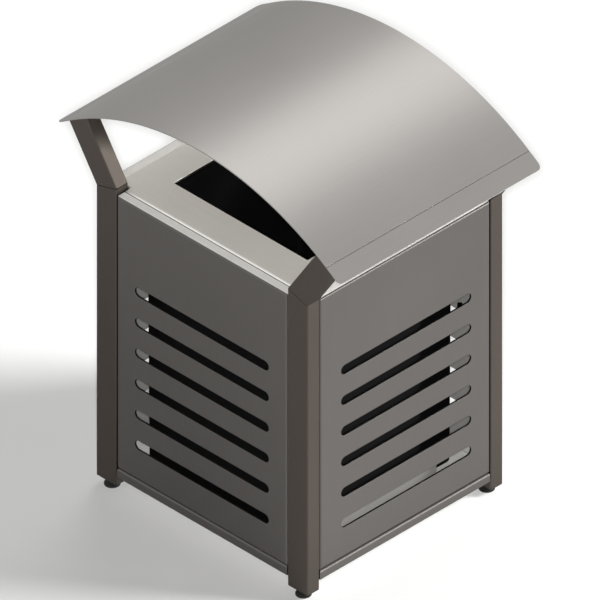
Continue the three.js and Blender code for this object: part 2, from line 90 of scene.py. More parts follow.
def add_node(tree, kind, inputs=None, **settings):
    """Adds a node with its settings. Each input named is given its value, or is joined to the output given or
    to the first output of the node given."""
    made = tree.nodes.new(kind)
    for name, value in settings.items():
        setattr(made, name, value)
    for name, value in (inputs or {}).items():
        if isinstance(value, bpy.types.Node):
            value = next(output for output in value.outputs if output.enabled)
        if isinstance(value, bpy.types.NodeSocket):
            tree.links.new(value, made.inputs[name])
        else:
            made.inputs[name].default_value = value
    return made


def start_material(name):
    """A new material, its empty tree, and the point being shaded in the piece's own coordinates."""
    material = bpy.data.materials.new(name)
    material.use_nodes = True
    tree = material.node_tree
    tree.nodes.clear()
    return material, tree, add_node(tree, "ShaderNodeTexCoord").outputs["Object"]


def drifting(tree, pattern, colours, roughness, spread):
    """A colour between two, and a roughness to either side of one, that drift with a pattern."""
    tone = {"Factor": pattern, "A": colours[0], "B": colours[1]}
    gloss = {"Value": pattern, "To Min": roughness - spread, "To Max": roughness + spread}
    return {
        "Base Color": add_node(tree, "ShaderNodeMix", tone, data_type="RGBA"),
        "Roughness": add_node(tree, "ShaderNodeMapRange", gloss),
    }


def end_material(material, inputs):
    """Every material ends with one shader."""
    shader = add_node(material.node_tree, "ShaderNodeBsdfPrincipled", inputs)
    add_node(material.node_tree, "ShaderNodeOutputMaterial", {"Surface": shader})
    return material


def moulded_black(name, colour, roughness, grain, depth, shine=0.5):
    """Black rubber or plastic from a textured mould: a fine grain, and broad patches a little more worn."""
    material, tree, where = start_material(name)
    fine = add_node(tree, "ShaderNodeTexNoise", {"Vector": where, "Scale": 1 / grain, "Detail": 2.0})
    worn = add_node(tree, "ShaderNodeTexNoise", {"Vector": where, "Scale": 1 / worn_patch, "Detail": 3.0})
    relief = add_node(tree, "ShaderNodeBump", {"Height": fine, "Strength": 0.6, "Distance": depth})
    finish = drifting(tree, worn, [linear(colour), linear(colour, times=1.7)], roughness, spread=0.08)
    return end_material(material, {**finish, "Specular IOR Level": shine, "Normal": relief})


# Moulded rubber: dull and near black, with a fine pebble grain that only shows close up
rubber = moulded_black("moulded black rubber", "#131313", roughness=0.72, grain=0.5 * mm, depth=0.06 * mm)


def new_piece(name, points=(), faces=(), edges=()):
    mesh = bpy.data.meshes.new(name)
    mesh.from_pydata([tuple(point) for point in points], edges, faces)
    piece = bpy.data.objects.new(name, mesh)
    bpy.context.scene.collection.objects.link(piece)
    return piece


def loft(name, rings, closed=False):
    """A skin through rings of equal counts, each anticlockwise from above. It rises on outer faces and falls
    on inner ones. It is capped at both ends, or closed back on its first ring as a tube wall is."""
    count = len(rings[0])
    faces = []
    for level in range(len(rings) if closed else len(rings) - 1):
        low = level * count
        high = (level + 1) % len(rings) * count
        for i in range(count):
            j = (i + 1) % count
            faces.append((low + i, low + j, high + j, high + i))
    if not closed:
        last = (len(rings) - 1) * count
        faces.append(tuple(reversed(range(count))))
        faces.append(tuple(range(last, last + count)))
    return new_piece(name, [point for ring in rings for point in ring], faces)


def circle(radius, height):
    """A level ring of points round the z axis."""
    turns = [2 * math.pi * i / round_steps for i in range(round_steps)]
    return [Vector((radius * math.cos(a), radius * math.sin(a), height)) for a in turns]


def turned(name, profile, closed=False):
    """A round piece on the z axis, from the (radius, height) points of its outline."""
    return loft(name, [circle(radius, height) for radius, height in profile], closed)


def arc(middle_x, middle_y, radius, start, end, steps=6):
    """The points of an arc in an outline, between two angles in degrees."""
    angles = [math.radians(start + (end - start) * i / steps) for i in range(steps + 1)]
    return [(middle_x + radius * math.cos(a), middle_y + radius * math.sin(a)) for a in angles]


def finished(piece, material, place=Matrix(), edge=0.0, sharp_from=35):
    """Breaks the edges sharper than an angle by that width, or keeps them sharp, evens the shading over flat
    faces, and leaves a plain mesh in its place. The solids that cut the piece or joined it are removed."""
    piece.data.shade_smooth()
    if edge:
        soft = piece.modifiers.new("broken edges", "BEVEL")
        soft.width = edge
        soft.segments = 2
        soft.limit_method = "ANGLE"
        soft.angle_limit = math.radians(sharp_from)
    else:
        piece.data.set_sharp_from_angle(angle=math.radians(sharp_from))
    piece.modifiers.new("merged points", "WELD").merge_threshold = merge_within
    piece.modifiers.new("even shading", "WEIGHTED_NORMAL").keep_sharp = True
    graph = bpy.context.evaluated_depsgraph_get()
    mesh = bpy.data.meshes.new_from_object(piece.evaluated_get(graph), depsgraph=graph)
    shapers = [modifier.object for modifier in piece.modifiers if modifier.type == "BOOLEAN"]
    piece.modifiers.clear()
    for shaper in shapers:
        bpy.data.objects.remove(shaper)
    piece.data = mesh
    mesh.name = piece.name
    mesh.transform(place)
    mesh.materials.clear()
    mesh.materials.append(material)
    mesh.polygons.foreach_set("material_index", [0] * len(mesh.polygons))
    return piece


def refinish(piece, material, which):
    """Gives a finished piece's faces another finish where a test of the face says so."""
    piece.data.materials.append(material)
    for face in piece.data.polygons:
        if which(face):
            face.material_index = len(piece.data.materials) - 1


def size(node):
    """How wide, deep and tall a CAD node's box is."""
    low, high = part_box(node)
    return high - low


def at(node, height=0.0):
    """A move to the middle of a CAD node's box, seen from above, at that height over its lowest point."""
    low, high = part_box(node)
    return Matrix.Translation(((low.x + high.x) / 2, (low.y + high.y) / 2, low.z + height))


for corner in corners:
    foot = "foot_" + corner
    pad_flat = size(foot).x / 2 - pad_fillet
    shoulder_foot = shoulder_radius + shoulder_fillet
    pad_profile = arc(pad_flat, pad_fillet, pad_fillet, -90, 0)
    pad_profile += arc(pad_flat, pad_edge - pad_fillet, pad_fillet, 0, 75)
    pad_profile.append((shoulder_foot, pad_top))
    pad_profile += arc(shoulder_foot, pad_top + shoulder_fillet, shoulder_fillet, 250, 180)
    pad_profile += arc(shoulder_radius - pad_fillet, shoulder_top - pad_fillet, pad_fillet, 0, 90)
    pad = finished(turned("levelling_pad_" + corner, pad_profile), rubber, at(foot))
    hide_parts(foot)
    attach(pad, foot)


# Levelling studs: the M10 threaded studs that are moulded into the pads. Stainless steel with a rolled
# thread; turning one in its plug raises or lowers that corner.
stud_radius = 5 * mm
thread_pitch = 1.5 * mm
thread_depth = 0.5 * mm
turn_steps = 20
core_steps = 24
pressed_mottle = 9 * mm


def start_tree(name, **inputs):
    """A Geometry Nodes tree with a geometry input and output, and the inputs named under each kind."""
    tree = bpy.data.node_groups.new(name, "GeometryNodeTree")
    tree.interface.new_socket("Geometry", in_out="INPUT", socket_type="NodeSocketGeometry")
    for kind, labels in inputs.items():
        for label in labels:
            tree.interface.new_socket(label, in_out="INPUT", socket_type="NodeSocket" + kind)
    tree.interface.new_socket("Geometry", in_out="OUTPUT", socket_type="NodeSocketGeometry")
    return tree, add_node(tree, "NodeGroupInput").outputs


def end_tree(tree, geometry, finish):
    """Every tree ends with real geometry that holds its material."""
    real = add_node(tree, "GeometryNodeRealizeInstances", {"Geometry": geometry})
    coated = add_node(tree, "GeometryNodeSetMaterial", {"Geometry": real, "Material": finish})
    add_node(tree, "NodeGroupOutput", {"Geometry": coated})
    return tree


def grow(piece, tree, values):
    """Puts a tree on a piece, with the tree's inputs set by their identifiers."""
    modifier = piece.modifiers.new(tree.name, "NODES")
    modifier.node_group = tree
    for item in tree.interface.items_tree:
        if item.in_out == "INPUT" and item.name in values:
            modifier[item.identifier] = values[item.name]


def plain_steel(name, colour, roughness, mottle_size, metallic=1.0):
    """Steel with no brushed grain, slightly mottled from handling. Dull scale makes it less than metallic."""
    material, tree, where = start_material(name)
    mottle = add_node(tree, "ShaderNodeTexNoise", {"Vector": where, "Scale": 1 / mottle_size, "Detail": 3.0})
    shades = [linear(colour, times=0.88), linear(colour, times=1.12)]
    finish = drifting(tree, mottle, shades, roughness, spread=0.06)
    return end_material(material, {**finish, "Metallic": metallic})


# Plain stainless steel of bought fasteners: brighter and smoother than the brushed sheet
bright_steel = plain_steel("pressed stainless fastener", "#8F8E8B", 0.32, pressed_mottle)


def threaded_stud_tree():
    """A core with one ridge wound round it, as long as it is told."""
    sizes = ["Radius", "Depth", "Pitch", "Length"]
    tree, given = start_tree("threaded stud", Float=sizes, Material=["Finish"])
    length, depth = given["Length"], given["Depth"]
    root = add_node(tree, "ShaderNodeMath", {0: given["Radius"], 1: depth}, operation="SUBTRACT")
    turns = add_node(tree, "ShaderNodeMath", {0: length, 1: given["Pitch"]}, operation="DIVIDE")
    winding = {"Rotations": turns, "Start Radius": root, "End Radius": root, "Height": length}
    helix = add_node(tree, "GeometryNodeCurveSpiral", {"Resolution": turn_steps, **winding})
    diamond = {"Resolution": 4, "Radius": depth}
    ridge = add_node(tree, "GeometryNodeCurvePrimitiveCircle", diamond, mode="RADIUS")
    swept = {"Curve": helix, "Profile Curve": ridge, "Fill Caps": True}
    thread = add_node(tree, "GeometryNodeCurveToMesh", swept)
    rod_sizes = {"Vertices": core_steps, "Radius": root, "Depth": length}
    core = add_node(tree, "GeometryNodeMeshCylinder", rod_sizes)
    half = add_node(tree, "ShaderNodeMath", {0: length, 1: 0.5}, operation="MULTIPLY")
    lift = add_node(tree, "ShaderNodeCombineXYZ", {"Z": half})
    raised = add_node(tree, "GeometryNodeTransform", {"Geometry": core, "Translation": lift})
    both = add_node(tree, "GeometryNodeJoinGeometry", {"Geometry": raised})
    tree.links.new(thread.outputs["Mesh"], both.inputs["Geometry"])
    return end_tree(tree, both, given["Finish"])


stud_tree = threaded_stud_tree()
stud_base = shoulder_top + thread_depth
for corner in corners:
    foot = "foot_" + corner
    stud = new_piece("levelling_stud_" + corner)
    stud_sizes = {"Radius": stud_radius, "Depth": thread_depth, "Pitch": thread_pitch}
    stud_sizes["Length"] = size(foot).z - stud_base - thread_depth
    grow(stud, stud_tree, {**stud_sizes, "Finish": bright_steel})
    finished(stud, bright_steel, at(foot, stud_base))
    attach(stud, foot)


# Levelling nuts: the hexagon nuts against the post plugs that lock the studs. Stainless steel, chamfered
# on both faces.
nut_bore = 5.3 * mm
chamfer_slope = math.tan(math.radians(30))
flat_share = math.cos(math.radians(30))  # a hexagon's width across flats as a share of that across corners
up = Vector((0, 0, 1))


def hex_ring(across_corners, height=None, circle_at=None, side=1):
    """A ring on a hexagon's wall, where a 30 degree chamfer from a circle at a face's height meets it, or
    at a plain height."""
    apothem = across_corners / 2 * flat_share
    ring = []
    for i in range(round_steps):
        angle = 2 * math.pi * i / round_steps
        radius = apothem / math.cos((angle + math.pi / 6) % (math.pi / 3) - math.pi / 6)
        z = height if circle_at is None else circle_at - side * (radius - apothem) * chamfer_slope
        ring.append(Vector((radius * math.cos(angle), radius * math.sin(angle), z)))
    return ring


def hex_nut(name, across_corners, height, bore):
    """A nut that stands on z = 0, with its bore open."""
    face = across_corners / 2 * flat_share
    rings = [
        circle(face, 0),
        hex_ring(across_corners, circle_at=0, side=-1),
        hex_ring(across_corners, circle_at=height),
        circle(face, height),
        circle(bore, height),
        circle(bore, 0),
    ]
    return loft(name, rings, closed=True)


def fastener_tree():
    """Sets copies of one made piece on points, each turned so that its z axis follows the point's own aim."""
    tree, given = start_tree("fasteners in place", Object=["Copy"], Material=["Finish"])
    aim = add_node(tree, "GeometryNodeInputNamedAttribute", {"Name": "aim"}, data_type="FLOAT_VECTOR")
    facing = add_node(tree, "FunctionNodeAlignRotationToVector", {"Vector": aim}, axis="Z")
    copy = add_node(tree, "GeometryNodeObjectInfo", {"Object": given["Copy"]}).outputs["Geometry"]
    laid = {"Points": given["Geometry"], "Instance": copy, "Rotation": facing}
    return end_tree(tree, add_node(tree, "GeometryNodeInstanceOnPoints", laid), given["Finish"])


copies_tree = fastener_tree()


def set_out(name, original, seats, material):
    """One piece made of a copy of the original at each seat: a point, and the way that its z axis points."""
    group = new_piece(name, [point for point, _ in seats])
    aims = group.data.attributes.new("aim", "FLOAT_VECTOR", "POINT")
    aims.data.foreach_set("vector", [value for _, direction in seats for value in direction])
    grow(group, copies_tree, {"Copy": original, "Finish": material})
    finished(group, material)
    bpy.data.objects.remove(original)
    return group


nut_nodes = ["foot_nut_" + corner for corner in corners]
nut_size = size(nut_nodes[0])
nut = hex_nut("nut", nut_size.x, nut_size.z, nut_bore)
nuts = set_out("levelling_nuts", nut, [(at(node).translation, up) for node in nut_nodes], bright_steel)
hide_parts(*nut_nodes)
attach(nuts, "frame")


# Post plugs: black nylon plugs pressed into the lower ends of the posts, each with a thin flange as large as
# the tube. They close the tube, and the levelling stud screws up through their bore.
tube_wide = 63.5 * mm
tube_deep = 38.1 * mm
tube_wall = 3.2 * mm
tube_corner = 3.3 * mm
plug_flange = 2.7 * mm
plug_fillet = 0.8 * mm
plug_round = ((1, 0), (0.25, 0.34), (0, 1))  # inset and height of the lower edge, as shares of the fillet
plug_fit = 0.3 * mm
insert_corner = 1 * mm
fin_height = 0.25 * mm
fin_pitch = 5 * mm
fin_rise = fin_pitch / 3


def rounded_ring(wide, deep, radius, height=0.0, steps=6):
    """A level ring with the outline of a rectangle with round corners."""
    ring = []
    for quarter, (x, y) in enumerate(((1, 1), (-1, 1), (-1, -1), (1, -1))):
        for i in range(steps + 1):
            angle = math.pi / 2 * (quarter + i / max(steps, 1))
            along = x * (wide / 2 - radius) + radius * math.cos(angle)
            ring.append(Vector((along, y * (deep / 2 - radius) + radius * math.sin(angle), height)))
    return ring


def tube_ring(inset, radius, height=0.0):
    """A level ring with the outline of the posts' tube, drawn in all round."""
    return rounded_ring(tube_wide - 2 * inset, tube_deep - 2 * inset, radius, height)


def insert_ring(inset, height):
    return tube_ring(tube_wall + plug_fit + inset, insert_corner, height)


# Moulded nylon: near black, smoother than the rubber
nylon = moulded_black("moulded black nylon", "#171717", roughness=0.5, grain=0.4 * mm, depth=0.03 * mm)

for corner in corners:
    node = "post_plug_" + corner
    plug_tall = size(node).z
    plug_rings = []
    for inward, upward in plug_round:
        inset = plug_fillet * inward
        plug_rings.append(tube_ring(inset, tube_corner - inset, plug_fillet * upward))
    plug_rings += [tube_ring(0, tube_corner, plug_flange), insert_ring(0, plug_flange)]
    for i in range(int((plug_tall - plug_flange) / fin_pitch)):
        fin_base = plug_flange + (i + 0.5) * fin_pitch
        plug_rings += [insert_ring(fin_height, fin_base), insert_ring(0, fin_base + fin_rise)]
    plug_rings.append(insert_ring(fin_height, plug_tall))
    bore_ring = [point.normalized() * nut_bore for point in plug_rings[0]]
    plug_rings += [[point + up * plug_tall for point in bore_ring], bore_ring]
    plug = finished(loft("post_end_plug_" + corner, plug_rings, closed=True), nylon, at(node))
    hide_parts(node)
    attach(plug, "frame")


# Posts: stainless rectangular tube, satin brushed along its length, cut to a mitre above the panels where it
# leans out to the canopy. The mitre is welded from inside and leaves a fine joint line outside.
lean = math.radians(33.1)
arch_radius = 746.6 * mm
arch_sheet = 3 * mm
weld_gap = 0.3 * mm
seam_wide = 1.6 * mm
seam_deep = 2.3 * mm
tube_inner_corner = 0.8 * mm
head_ring = 4  # which of a post's rings is the edge that is welded under the canopy
post_x = at("foot_front_right").translation.x
post_y = at("foot_rear_right").translation.y
tube_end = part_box("post_front_left")[0].z
knee_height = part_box("front_panel")[1].z
body_half_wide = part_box("right_panel")[1].x
arch_centre = Vector((0, 0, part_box("canopy")[1].z - arch_radius))
grain_wide = 0.9 * mm  # the real grain is about 0.2 mm wide; it is drawn coarser so that it shows
grain_long = 160 * mm
grain_deep = 0.1 * mm
cloud_size = 260 * mm
cloud_share = 0.35
grazing_tint = "#CCCCCC"  # brushed steel brightens less at a glance than polished metal


def satin_steel(name, colour, roughness, grain_axis):
    """Stainless steel brushed along an axis: fine streaks in its gloss and height, and faint broad clouds."""
    material, tree, where = start_material(name)
    scale = [1 / grain_wide] * 3
    scale[grain_axis] = 1 / grain_long
    along = add_node(tree, "ShaderNodeMapping", {"Vector": where, "Scale": scale})
    streak = add_node(tree, "ShaderNodeTexNoise", {"Vector": along, "Scale": 1.0, "Detail": 3.0})
    cloud = add_node(tree, "ShaderNodeTexNoise", {"Vector": where, "Scale": 1 / cloud_size, "Detail": 2.0})
    mixed = add_node(tree, "ShaderNodeMix", {"Factor": cloud_share, "A": streak, "B": cloud})
    relief = add_node(tree, "ShaderNodeBump", {"Height": streak, "Strength": 0.5, "Distance": grain_deep})
    shades = [linear(colour, times=0.86), linear(colour, times=1.14)]
    finish = drifting(tree, mixed, shades, roughness, spread=0.07)
    metal = {"Metallic": 1.0, "Specular Tint": linear(grazing_tint), "Normal": relief}
    return end_material(material, {**finish, **metal})


# Brushed stainless tube: a warmer and darker grey than the sheet, with its grain along the tube
tube_steel = satin_steel("satin brushed stainless tube", "#554F4A", roughness=0.5, grain_axis=2)


def post_rings(side):
    """The rings of a post from its lower end up to the canopy outside, and back down inside."""
    outward = Vector((side * math.sin(lean), 0, math.cos(lean)))
    along_flange = Vector((side * math.cos(lean), 0, -math.sin(lean)))

    def foot(point):
        return Vector((side * post_x + point.x, point.y, tube_end))

    def knee(point):
        x = side * post_x + point.x
        return Vector((x, point.y, knee_height + (body_half_wide - side * x) * math.tan(lean / 2)))

    def head(point):
        bent = knee(point)
        run = (bent - arch_centre).dot(along_flange)
        under = arch_radius - arch_sheet - weld_gap
        reach = under if run > 0 else math.sqrt(under**2 - run**2)
        return bent + outward * (reach - (bent - arch_centre).dot(outward))

    outer = tube_ring(0, tube_corner)
    sunk = tube_ring(seam_deep, tube_corner - seam_deep)
    inner = tube_ring(tube_wall, tube_inner_corner)
    return [
        [foot(p) for p in outer],
        [knee(p) - up * seam_wide / 2 for p in outer],
        [knee(p) for p in sunk],
        [knee(p) + outward * seam_wide / 2 for p in outer],
        [head(p) for p in outer],
        [head(p) for p in inner],
        [knee(p) for p in inner],
        [foot(p) for p in inner],
    ]


weld_loops = []
for corner, (across, along) in corners.items():
    to_row = Vector((0, along * post_y, 0))
    tube_rings = [[point + to_row for point in ring] for ring in post_rings(across)]
    weld_loops.append(tube_rings[head_ring])
    post = finished(loft("post_tube_" + corner, tube_rings, closed=True), tube_steel, sharp_from=60)
    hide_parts("post_" + corner)
    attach(post, "frame")


# Base tray: a pan of folded stainless sheet between the feet of the posts, notched round them, with its
# walls turned down. It carries the liner and is bolted to the posts.
sheet = 4.76 * mm
fold = 6.35 * mm
fold_steps = 8
sheet_edge = 0.5 * mm
notch_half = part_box("front_panel")[1].x
unbrushed_cloud = 90 * mm
level_from = 0.97  # how far up a face's normal points, from which the face is part of the flat

# Brushed stainless sheet, a soft neutral grey, with its grain upright
upright_steel = satin_steel("satin brushed stainless sheet, upright", "#656260", roughness=0.5, grain_axis=2)
# Pale, even and rather chalky unbrushed steel, paler than the brushed sheet as painted light: faces that look
# up are painted pale as if lit from above, and the canopy's underside is painted pale so that it brightens
# what lies under it
painted_light_steel = plain_steel("mill finish stainless sheet", "#E8E6E2", 0.55, unbrushed_cloud, metallic=0.15)
# The back of a sheet is neither brushed nor polished, and is a dull and darker grey
back_steel = plain_steel("dull back of stainless sheet", "#BBB9B5", 0.66, unbrushed_cloud, metallic=0.3)


def fold_profile(deep):
    """(inset, drop) of a folded sheet: from its face inside, round the fold to the rim's edge, and back
    outside to its face."""
    inside = arc(fold, fold, fold - sheet, 270, 180, fold_steps)
    outside = arc(fold, fold, fold, 180, 270, fold_steps)
    return [*inside, (sheet, deep), (0, deep), *outside]


def plus_ring(half_wide, half_deep, notch, height):
    """A level ring with the outline of a rectangle whose corners are notched."""
    outline = [(half_wide, -notch), (half_wide, notch), (notch, notch)]
    outline += [(notch, half_deep), (-notch, half_deep), (-notch, notch)]
    outline += [(-x, -y) for x, y in outline]
    return [Vector((x, y, height)) for x, y in outline]


def notched_pan(name, node):
    """The pan in its place, from the box of its CAD node."""
    low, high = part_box(node)
    rings = [
        plus_ring(high.x - inset, high.y - inset, notch_half - inset, high.z - drop)
        for inset, drop in fold_profile(high.z - low.z)
    ]
    return loft(name, rings)


# The tray's level faces get the pale steel, painted light as if lit from above, and its upright walls the
# darker upright sheet.
base = finished(notched_pan("base_tray_sheet", "base_tray"), painted_light_steel, edge=sheet_edge)
refinish(base, upright_steel, lambda face: abs(face.normal.z) < level_from)
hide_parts("base_tray")
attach(base, "frame")


# Guide strips: folded stainless angles welded to the base tray, one at each side of the liner and a lower
# one in front of it, so that it slides in straight and stops.
strip_sheet = 3.2 * mm
strip_fold = 4.8 * mm


def angle_strip(name, node, degrees):
    """A folded angle with its upright against the liner and its foot turned away, and its place. It runs from
    front to back, turned by that angle."""
    low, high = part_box(node)
    wide, long, tall = size(node)
    if degrees == -90:
        wide, long = long, wide
    outline = [(0, tall)]
    outline += arc(strip_fold, strip_fold, strip_fold, 180, 270, fold_steps)
    outline += [(wide, 0), (wide, strip_sheet)]
    outline += arc(strip_fold, strip_fold, strip_fold - strip_sheet, 270, 180, fold_steps)
    outline.append((strip_sheet, tall))
    strip = loft(name, [[Vector((x, end, z)) for x, z in outline] for end in (long / 2, -long / 2)])
    near = {0: (low.x, 0), 180: (high.x, 0), -90: (0, high.y)}[degrees]
    return strip, Matrix.Translation((*near, low.z)) @ Matrix.Rotation(math.radians(degrees), 4, "Z")


for node, degrees in (("liner_guide_right", 0), ("liner_guide_left", 180), ("liner_stop", -90)):
    strip, strip_place = angle_strip(node + "_strip", node, degrees)
    finished(strip, back_steel, strip_place, edge=sheet_edge / 2)
    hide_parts(node)
    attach(strip, "frame")


# Liner: a rigid box moulded in black polyethylene, slightly tapered, with a rolled rim. It stands loose on
# the base tray and slides out through the service door.
liner_wall = 4 * mm
liner_corner = 12 * mm
liner_fillet = 8 * mm
liner_lip = 5 * mm
liner_lip_height = 8 * mm
liner_taper = 3 * mm
liner_low, liner_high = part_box("liner")
rim_half = liner_high.x - liner_lip
foot_half = rim_half - liner_taper
rim_roll = (liner_lip + liner_wall) / 2
lip_base = liner_high.z - liner_lip_height

# Half the liner's width at each height: up the outside, round the rolled rim, and down inside to the floor
outside = arc(foot_half - liner_fillet, liner_low.z + liner_fillet, liner_fillet, -90, 0)
outside.append((rim_half, lip_base))
rim = [(rim_half + liner_lip, lip_base)]
rim += arc(rim_half + liner_lip - rim_roll, liner_high.z - rim_roll, rim_roll, 0, 180, steps=12)
floor_edge = foot_half - liner_wall - liner_fillet
inside = arc(floor_edge, liner_low.z + liner_wall + liner_fillet, liner_fillet, 0, -90)
liner_outline = [(half, liner_corner, height) for half, height in outside]
liner_outline += [(half, liner_corner + half - rim_half, height) for half, height in rim]
liner_outline += [(half, liner_corner - liner_wall, height) for half, height in inside]
liner_rings = []
for half, bend, height in liner_outline:
    liner_rings.append(rounded_ring(2 * half, 2 * half, bend, height, steps=10))

# Moulded polyethylene: black with a waxy, slightly uneven gloss
polyethylene = moulded_black("moulded black polyethylene", "#0A0A0A", 0.75, 1.2 * mm, 0.05 * mm, shine=0.1)
liner = finished(loft("liner_box", liner_rings), polyethylene)
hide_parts("liner")
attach(liner, "frame")


# Panels: trays of folded stainless sheet between the posts at the front, right and left, with six
# round-ended slots laser cut through each. Satin brushed upright, and bolted to the posts through their rims.
slot_height = 25.4 * mm
slot_pitch = 84.1 * mm
slot_count = 6
slot_drop = 229 * mm
slot_steps = 48
front_slot = 425 * mm
side_slot = 413 * mm
side_shift = 3.3 * mm
side_drop = 2.5 * mm
behind_face = 0.7 * fold  # deeper than this, a face is on the back of the sheet or on a rim
mostly = 0.5  # how far a face's normal points one way, from which the face is said to face that way


def slotted_tree():
    """Cuts a row of round-ended slots, one below the other, through the face of a tray that lies face up."""
    sizes = ["Length", "Height", "Depth", "Pitch"]
    tree, given = start_tree("slots", Float=sizes, Int=["Count"], Vector=["First"], Material=["Finish"])
    high = given["Height"]
    radius = add_node(tree, "ShaderNodeMath", {0: high, 1: 0.5}, operation="MULTIPLY")
    straight = add_node(tree, "ShaderNodeMath", {0: given["Length"], 1: high}, operation="SUBTRACT")
    end_sizes = {"Vertices": slot_steps, "Radius": radius, "Depth": given["Depth"]}
    round_end = add_node(tree, "GeometryNodeMeshCylinder", end_sizes)
    apart = add_node(tree, "ShaderNodeCombineXYZ", {"X": straight})
    ends = add_node(tree, "GeometryNodeMeshLine", {"Count": 2, "Offset": apart}, mode="OFFSET")
    pair = add_node(tree, "GeometryNodeInstanceOnPoints", {"Points": ends, "Instance": round_end})
    solid_pair = add_node(tree, "GeometryNodeRealizeInstances", {"Geometry": pair})
    one_slot = add_node(tree, "GeometryNodeConvexHull", {"Geometry": solid_pair})
    half_back = add_node(tree, "ShaderNodeMath", {0: straight, 1: -0.5}, operation="MULTIPLY")
    shift = add_node(tree, "ShaderNodeCombineXYZ", {"X": half_back})
    centred = add_node(tree, "GeometryNodeTransform", {"Geometry": one_slot, "Translation": shift})
    down = add_node(tree, "ShaderNodeMath", {0: given["Pitch"], 1: -1.0}, operation="MULTIPLY")
    step = add_node(tree, "ShaderNodeCombineXYZ", {"Y": down})
    spacing = {"Count": given["Count"], "Start Location": given["First"], "Offset": step}
    column = add_node(tree, "GeometryNodeMeshLine", spacing, mode="OFFSET")
    slots = add_node(tree, "GeometryNodeInstanceOnPoints", {"Points": column, "Instance": centred})
    cutters = add_node(tree, "GeometryNodeRealizeInstances", {"Geometry": slots})
    solids = {"Mesh 1": given["Geometry"], "Mesh 2": cutters}
    cut = add_node(tree, "GeometryNodeMeshBoolean", solids, operation="DIFFERENCE")
    return end_tree(tree, cut, given["Finish"])


slot_tree = slotted_tree()


def slotted_tray(name, wide, tall, deep, slot_length, shift, lower):
    """A tray that lies face up at z = 0, with its slots. Its x is the panel's width and its y the height."""
    rings = []
    for inset, drop in fold_profile(deep):
        rings.append(rounded_ring(wide - 2 * inset, tall - 2 * inset, 0, -drop, steps=0))
    tray = loft(name, rings)
    slots = {"Length": slot_length, "Height": slot_height, "Pitch": slot_pitch, "Count": slot_count}
    slots["Depth"] = 4 * sheet
    slots["First"] = (shift, tall / 2 - slot_drop - lower, 0)
    grow(tray, slot_tree, {**slots, "Finish": upright_steel})
    return tray


# The laser leaves the edge of a cut dark with oxide, and finely lined across the sheet. The lines run along
# one axis, so there is one such finish for each axis.
cut_steel = [
    satin_steel("laser cut stainless edge, " + way, "#383532", roughness=0.6, grain_axis=axis)
    for axis, way in enumerate(("side to side", "front to back", "upright"))
]


def unbrushed(tray, stand, cut_axis):
    """The rims, the back and the cuts of a tray that stands there aren't brushed. The back and rims are dull,
    and where they look up they are painted pale, as painted light from above. The cuts, lined along that
    axis, are dark."""
    to_tray = stand.inverted()

    def behind(face):
        return (to_tray @ face.center).z < -behind_face

    def in_a_cut(face):
        spot = to_tray @ face.center
        outside = max(abs(spot.x) - panel_wide / 2, abs(spot.y) - panel_tall / 2)
        return outside < -2 * fold and abs((to_tray.to_3x3() @ face.normal).z) < mostly

    refinish(tray, back_steel, behind)
    # Faces behind the sheet that look up are painted pale: painted light, as if lit from above.
    refinish(tray, painted_light_steel, lambda face: behind(face) and face.normal.z > mostly)
    refinish(tray, cut_steel[cut_axis], in_a_cut)


quarter_turn = Matrix.Rotation(math.radians(90), 4, "X")
panel_low, panel_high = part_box("front_panel")
panel_wide = panel_high.x - panel_low.x
panel_deep = panel_high.y - panel_low.y
panel_tall = panel_high.z - panel_low.z
panel_middle = (panel_high.z + panel_low.z) / 2
body_half_deep = -panel_low.y
for name, degrees, cut_axis, out, slot_length, shift, lower in (
    ("front", 0, 1, body_half_deep, front_slot, 0, 0),
    ("right", 90, 0, body_half_wide, side_slot, side_shift, side_drop),
    ("left", -90, 0, body_half_wide, side_slot, side_shift, side_drop),
):
    panel = slotted_tray(name + "_panel_sheet", panel_wide, panel_tall, panel_deep, slot_length, shift, lower)
    turn = Matrix.Rotation(math.radians(degrees), 4, "Z")
    stand = turn @ Matrix.Translation((0, -out, panel_middle)) @ quarter_turn
    finished(panel, upright_steel, stand, edge=sheet_edge)
    unbrushed(panel, stand, cut_axis)
    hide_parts(name + "_panel")
    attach(panel, "frame")


# Top plate: a shallow pan of the same sheet, laid between the panels' top flanges, with the deposit opening
# cut through it. It is bolted to the posts and its edges turn down.
deposit_wide = 425 * mm
deposit_deep = 374 * mm
deposit_corner = 3 * mm
steep_to = 0.3  # how far up or down a face's normal points, up to which the face stands up


def change(piece, other, operation):
    """Cuts another solid out of a piece, or joins it to the piece, when the piece is finished."""
    boolean = piece.modifiers.new("shaped", "BOOLEAN")
    boolean.operation = operation
    boolean.object = other
    boolean.solver = "EXACT"


def upstanding(face):
    return abs(face.normal.z) < steep_to


def round_the_opening(face):
    past = max(abs(face.center.x) - deposit_wide / 2, abs(face.center.y) - deposit_deep / 2)
    return upstanding(face) and past < sheet


# Brushed stainless sheet with its grain from side to side, for the level plate: a paler copy of the upright
# sheet, painted light as if lit from above
painted_lit_level_steel = satin_steel("satin brushed stainless sheet, level", "#F3F1ED", roughness=0.52, grain_axis=0)

plate_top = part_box("top_plate")[1].z
plate = notched_pan("top_plate_sheet", "top_plate")
opening_ends = (plate_top - 2 * sheet, plate_top + 2 * sheet)
opening_rings = [rounded_ring(deposit_wide, deposit_deep, deposit_corner, height) for height in opening_ends]
change(plate, loft("opening", opening_rings), "DIFFERENCE")
finished(plate, painted_lit_level_steel, edge=sheet_edge)
# The plate's top keeps the pale copy, painted light; its upright rims get the darker upright sheet.
refinish(plate, upright_steel, upstanding)
refinish(plate, cut_steel[2], round_the_opening)
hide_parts("top_plate")
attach(plate, "frame")


